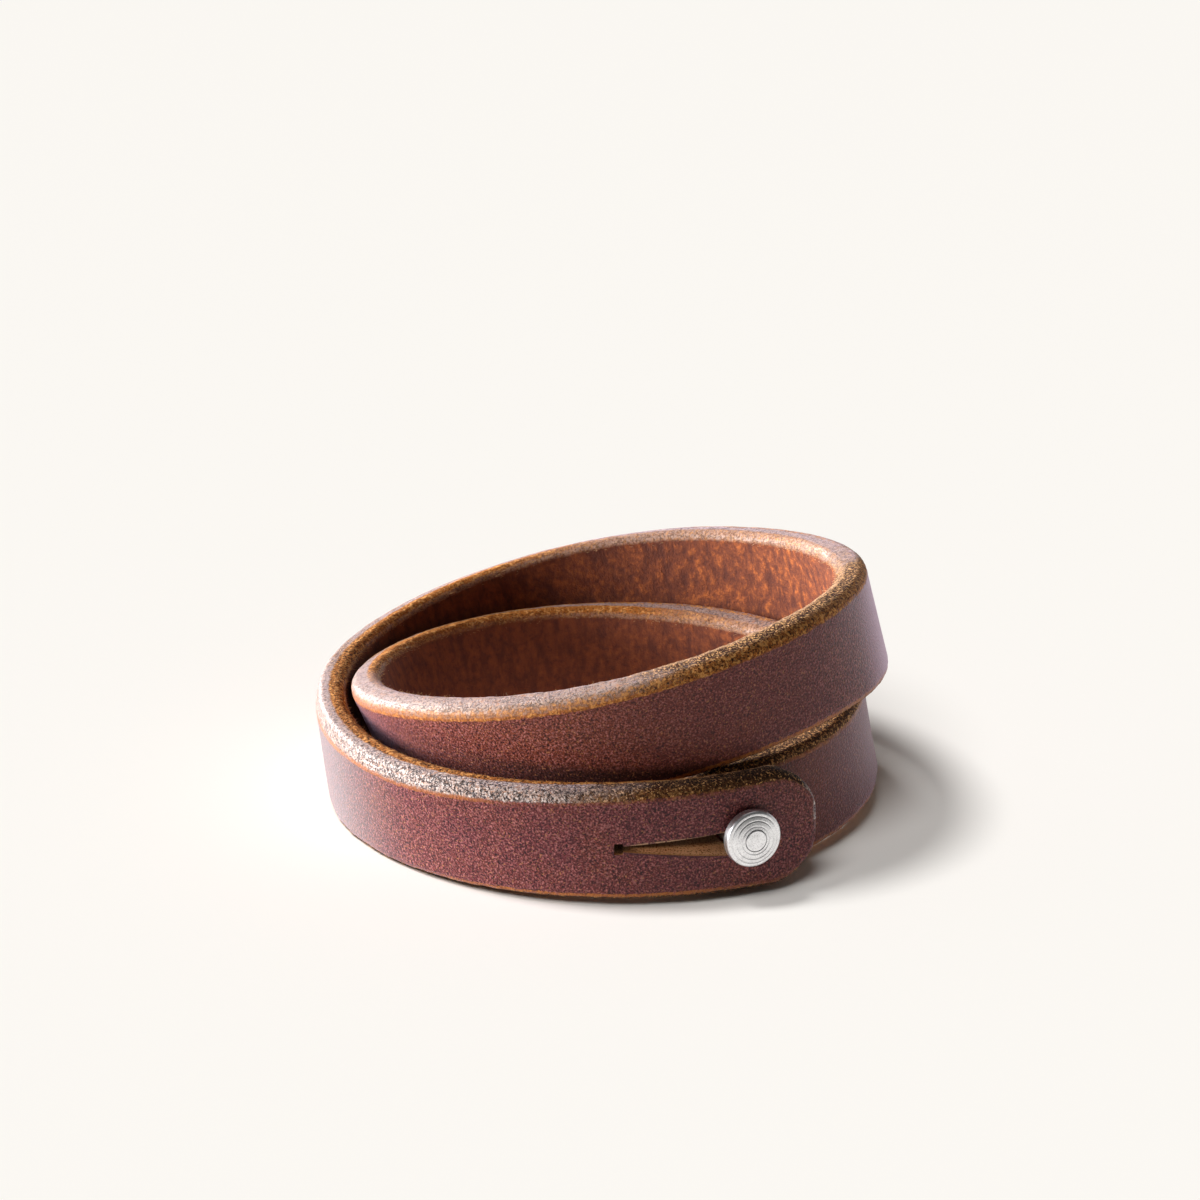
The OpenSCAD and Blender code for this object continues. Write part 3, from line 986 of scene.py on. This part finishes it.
def cutMaterial():
    # the cut through the leather in the buttonhole: brown fibres, with painted shade darker in the depth
    material, start = startMaterial("cut leather")
    spot = start.node("TexCoord", output="Object")
    out = start.node("UVMap", {"uv_map": "place"}).part("X")
    length = start.node("UVMap", {"uv_map": "skin"}).part("X")
    nickStart = float(studLength) + hole["slitLength"] - hole["nickLength"]
    fibres = spot.noise(*cut["fibres"])
    # the fibres' colours are lightened partly as painted light
    paint = fibres.ramp(0.36, 0.52).mix(colour(cut["dark"]), colour(cut["pale"]))
    # painted shade: the upper lip shades the wall from a depth that goes with how far the slit gapes there
    share = (length - float(studLength)) / hole["slitLength"]
    gapStart = lipAt("upperLip", 0) + lipAt("lowerLip", 0)
    gapEnd = lipAt("upperLip", 1) + lipAt("lowerLip", 1)
    gap = share * (gapEnd - gapStart) + gapStart
    cutShade = out.within(cut["depth"]) * 0.25
    cutShade = cutShade.most(((halfThick - out) / gap).ramp(0.55, 0.95) * 0.85)
    cutShade = cutShade.most(length.ramp(nickStart - cut["nickFade"], nickStart) * 0.7)
    paint = cutShade.mix(paint, colour(cut["cutShade"]))
    paint = (out.within(cut["rimDepth"]) * 0.7).mix(paint, colour(cut["rim"]))
    finishMaterial(start, {**rawShine, "Base Color": paint, "Normal": fibres.bump(*cut["relief"])})
    return material


steel = {
    "bright": "f4f4f6",
    "hazy": "cbcbcd",
    "scuff": "8c8c8e",
    "marks": (3.0, 260.0),  # how often the tool marks change round and across
    "haze": (0.7, 3.0, 0.6),  # size in mm, detail, roughness
    "scuffs": (0.13, 2.0, 0.7),
    "roughness": 0.26,
    "relief": (0.012, 0.5),  # mm and strength
}


def steelMaterial():
    # turned steel: the marks run round, with small scuffs and a slightly uneven shine
    material, start = startMaterial("turned steel")
    spot = start.node("TexCoord", output="Object")
    u, v = start.pair("turned")
    lines = start.node("CombineXYZ", {}, {0: u * steel["marks"][0], 1: v * steel["marks"][1], 2: 0.0})
    marks = lines.noise(1.0, scale=1.0)
    haze = spot.noise(*steel["haze"])
    paint = (haze.ramp(0.45, 0.7) * 0.35).mix(colour(steel["bright"]), colour(steel["hazy"]))
    paint = (spot.noise(*steel["scuffs"]).ramp(0.50, 0.62) * 0.35).mix(paint, colour(steel["scuff"]))
    finishMaterial(start, {
        "Metallic": 1.0,
        "Anisotropic": 0.55,
        "Base Color": paint,
        "Roughness": steel["roughness"] + marks * 0.14 + haze * 0.12,
        "Normal": marks.bump(*steel["relief"]),
    })
    return material


fibre = {
    "count": 3600,
    "length": (0.18, 0.55),
    "shorter": (0.5, 1.0),  # share of it that is left
    "radius": 0.022,
    "taper": 0.75,  # share of the radius lost at the tip
    "sides": 3,
    "rings": 4,
    "seed": 11,
    "endClear": 2.0,  # mm left bare at the strap's ends
    "corner": (158, 16),  # degrees round the corner from straight out: middle and spread
    "topShare": 0.75,  # share of them on the upper edge
    "rootDepth": 0.03,
    "lean": (0.9, 0.35),  # spread along and up the strap
    "leanShare": 0.8,
    "curl": (0.5, 0.4),  # spread along and out of the strap
    "dark": "b5782e",
    "pale": "dcae74",
}


def fibreMaterial():
    # golden to pale, by slow noise
    material, start = startMaterial("leather fibres")
    spot = start.node("TexCoord", output="Object")
    paint = spot.noise(0.8, 1.0).ramp(0.35, 0.65).mix(colour(fibre["dark"]), colour(fibre["pale"]))
    finishMaterial(start, {"Roughness": 0.6, "Sheen Weight": 0.3, "Base Color": paint})
    return material


def makeFibres(material):
    # loose fibres on the flesh side's borders: tapered tubes that start inside the leather and curl away
    rng = np.random.default_rng(fibre["seed"])
    n = fibre["count"]
    angle = angleAt(rng.uniform(fibre["endClear"], strapLength - fibre["endClear"], n))
    r = strap["edgeRound"]
    turn = np.radians(rng.normal(*fibre["corner"], n))
    side = np.where(rng.random(n) < fibre["topShare"], 1, -1)
    out = -(halfThick - r) + (r - fibre["rootDepth"]) * np.cos(turn)
    up = halfWide - r + (r - fibre["rootDepth"]) * np.sin(turn)
    root = onStrap(angle, out, side * up)
    along, outward, upward = frameAt(angle)
    normal = np.cos(turn)[:, None] * outward + (side * np.sin(turn))[:, None] * upward
    lean = rng.normal(0, fibre["lean"][0], n)[:, None] * along
    lean = lean + rng.normal(0, fibre["lean"][1], n)[:, None] * upward
    first = unit(normal + fibre["leanShare"] * lean)
    curl = rng.normal(0, fibre["curl"][0], n)[:, None] * along
    curl = curl + rng.normal(0, fibre["curl"][1], n)[:, None] * outward
    length = rng.uniform(*fibre["length"], n)[:, None] * rng.uniform(*fibre["shorter"], n)[:, None]
    across = unit(np.cross(first, along + 0.3 * upward))
    other = np.cross(first, across)
    t = np.linspace(0, 1, fibre["rings"])[None, :, None]
    centre = root[:, None] + (first[:, None] * t + curl[:, None] * t**2) * length[:, None]
    thick = fibre["radius"] * (1 - fibre["taper"] * t)
    around = np.linspace(0, 2 * np.pi, fibre["sides"], endpoint=False)
    ring = np.cos(around)[:, None] * across[:, None, None] + np.sin(around)[:, None] * other[:, None, None]
    points = centre[:, :, None] + thick[..., None] * ring
    per = fibre["rings"] * fibre["sides"]
    base = np.arange(n)[:, None, None] * per
    walls = (gridFaces(fibre["rings"], fibre["sides"])[0][None] + base).reshape(-1, 4)
    foot = np.arange(fibre["sides"])[::-1][None] + base[:, 0]
    tip = np.arange(fibre["sides"])[None] + per - fibre["sides"] + base[:, 0]
    faces = walls.tolist() + foot.tolist() + tip.tolist()
    return addMesh("edge_fibres", points.reshape(-1, 3), faces, [material])


leatherLook = leatherMaterial()
cutLook = cutMaterial()
fibreLook = fibreMaterial()
steelLook = steelMaterial()
print("materials made")

strapPiece = makeStrap([leatherLook, cutLook])
boreLow = -halfThick - hole["overcut"]
boreHigh = halfThick + hole["reach"]
stemLow = innerMiddle() - halfThick - hole["reach"]
cutters = [
    makeSlitCutter(cutLook),
    makeBoreCutter("hole_cutter", hole["diameter"], boreLow, boreHigh, cutLook),
    makeBoreCutter("stem_cutter", stud["post"] + 2 * stud["gap"], stemLow, 0.0, cutLook),
]
carve(strapPiece, cutters)
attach(strapPiece, "root")
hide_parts("strap")
print("strap made:", len(strapPiece.data.polygons), "faces,", round(strapLength, 1), "mm long")

fibrePiece = makeFibres(fibreLook)
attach(fibrePiece, "root")
print("fibres made:", len(fibrePiece.data.polygons), "faces")

headPiece = makeHead(steelLook)
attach(headPiece, "root")
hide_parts("stud_cap")
postPiece = makePost(steelLook)
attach(postPiece, "root")
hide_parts("stud_post")
print("stud made")

studio = {
    "floor": "fbf8f3",
    "floorSize": 6.0,  # metres
    "floorFinish": {"Roughness": 0.9, "Specular IOR Level": 0.1},
    "world": "fffdfa",
    "worldStrength": 0.08,
    "lamps": {
        # where the light comes from, strength, width in degrees, what it lights
        "floor key": ((-0.42, 0.03, 0.90), 1.91, 14, "floor"),
        "floor fill": ((-0.22, -0.50, 0.84), 1.42, 30, "floor"),
        "left": ((-0.99, 0.0, 0.14), 11.0, 40, "bracelet"),
        "back left": ((-0.70, 0.70, 0.14), 7.5, 40, "bracelet"),
        "top": ((-0.1, 0.42, 0.90), 0.5, 40, "bracelet"),
        "right back": ((0.56, 0.82, 0.10), 1.7, 30, "bracelet"),
    },
}


def addLamps(lit):
    # distant soft lights, each for the floor or the bracelet only, so that both are exposed evenly
    groups = {}
    for name, pieces in lit.items():
        groups[name] = bpy.data.collections.new(name)
        for piece in pieces:
            groups[name].objects.link(piece)
    for name, (towards, strength, angle, target) in studio["lamps"].items():
        light = bpy.data.lights.new(name, "SUN")
        light.energy = strength
        light.angle = radians(angle)
        lamp = bpy.data.objects.new(name, light)
        lamp.rotation_euler = Vector(towards).to_track_quat("Z", "Y").to_euler()
        lamp.light_linking.receiver_collection = groups[target]
        bpy.context.scene.collection.objects.link(lamp)


def addFloor():
    # one large square on the table's height
    half = studio["floorSize"] / 2
    corners = np.array([(-half, -half, 0), (half, -half, 0), (half, half, 0), (-half, half, 0)]) / mm
    material, start = startMaterial("floor")
    finishMaterial(start, {**studio["floorFinish"], "Base Color": colour(studio["floor"])})
    floor = addMesh("floor", corners, [(0, 1, 2, 3)], [material])
    return floor


def addWorld():
    # a faint light from all round
    world = bpy.data.worlds.new("studio")
    world.use_nodes = True
    background = world.node_tree.nodes["Background"]
    background.inputs["Color"].default_value = colour(studio["world"])
    background.inputs["Strength"].default_value = studio["worldStrength"]
    bpy.context.scene.world = world


# place in mm, downward and sideward turn in degrees, focal length and sensor width in mm, reach in metres
camera = {
    "eye": (-0.5, -451.0, 188.0),
    "pitch": 20.1,
    "yaw": -0.05,
    "lens": 128.9,
    "sensor": 36,
    "reach": (0.01, 20),
}


def addCamera():
    # the photo's point of view
    made = bpy.data.cameras.new("camera")
    made.lens = camera["lens"]
    made.sensor_width = camera["sensor"]
    made.clip_start, made.clip_end = camera["reach"]
    seat = bpy.data.objects.new("camera", made)
    seat.location = Vector(camera["eye"]) * mm
    seat.rotation_euler = Euler((radians(90 - camera["pitch"]), 0, radians(camera["yaw"])))
    bpy.context.scene.collection.objects.link(seat)
    bpy.context.scene.camera = seat


floorPiece = addFloor()
addWorld()
addLamps({"bracelet": [strapPiece, fibrePiece, headPiece, postPiece], "floor": [floorPiece]})
addCamera()
bpy.context.scene.view_settings.view_transform = "Standard"
print("studio ready")
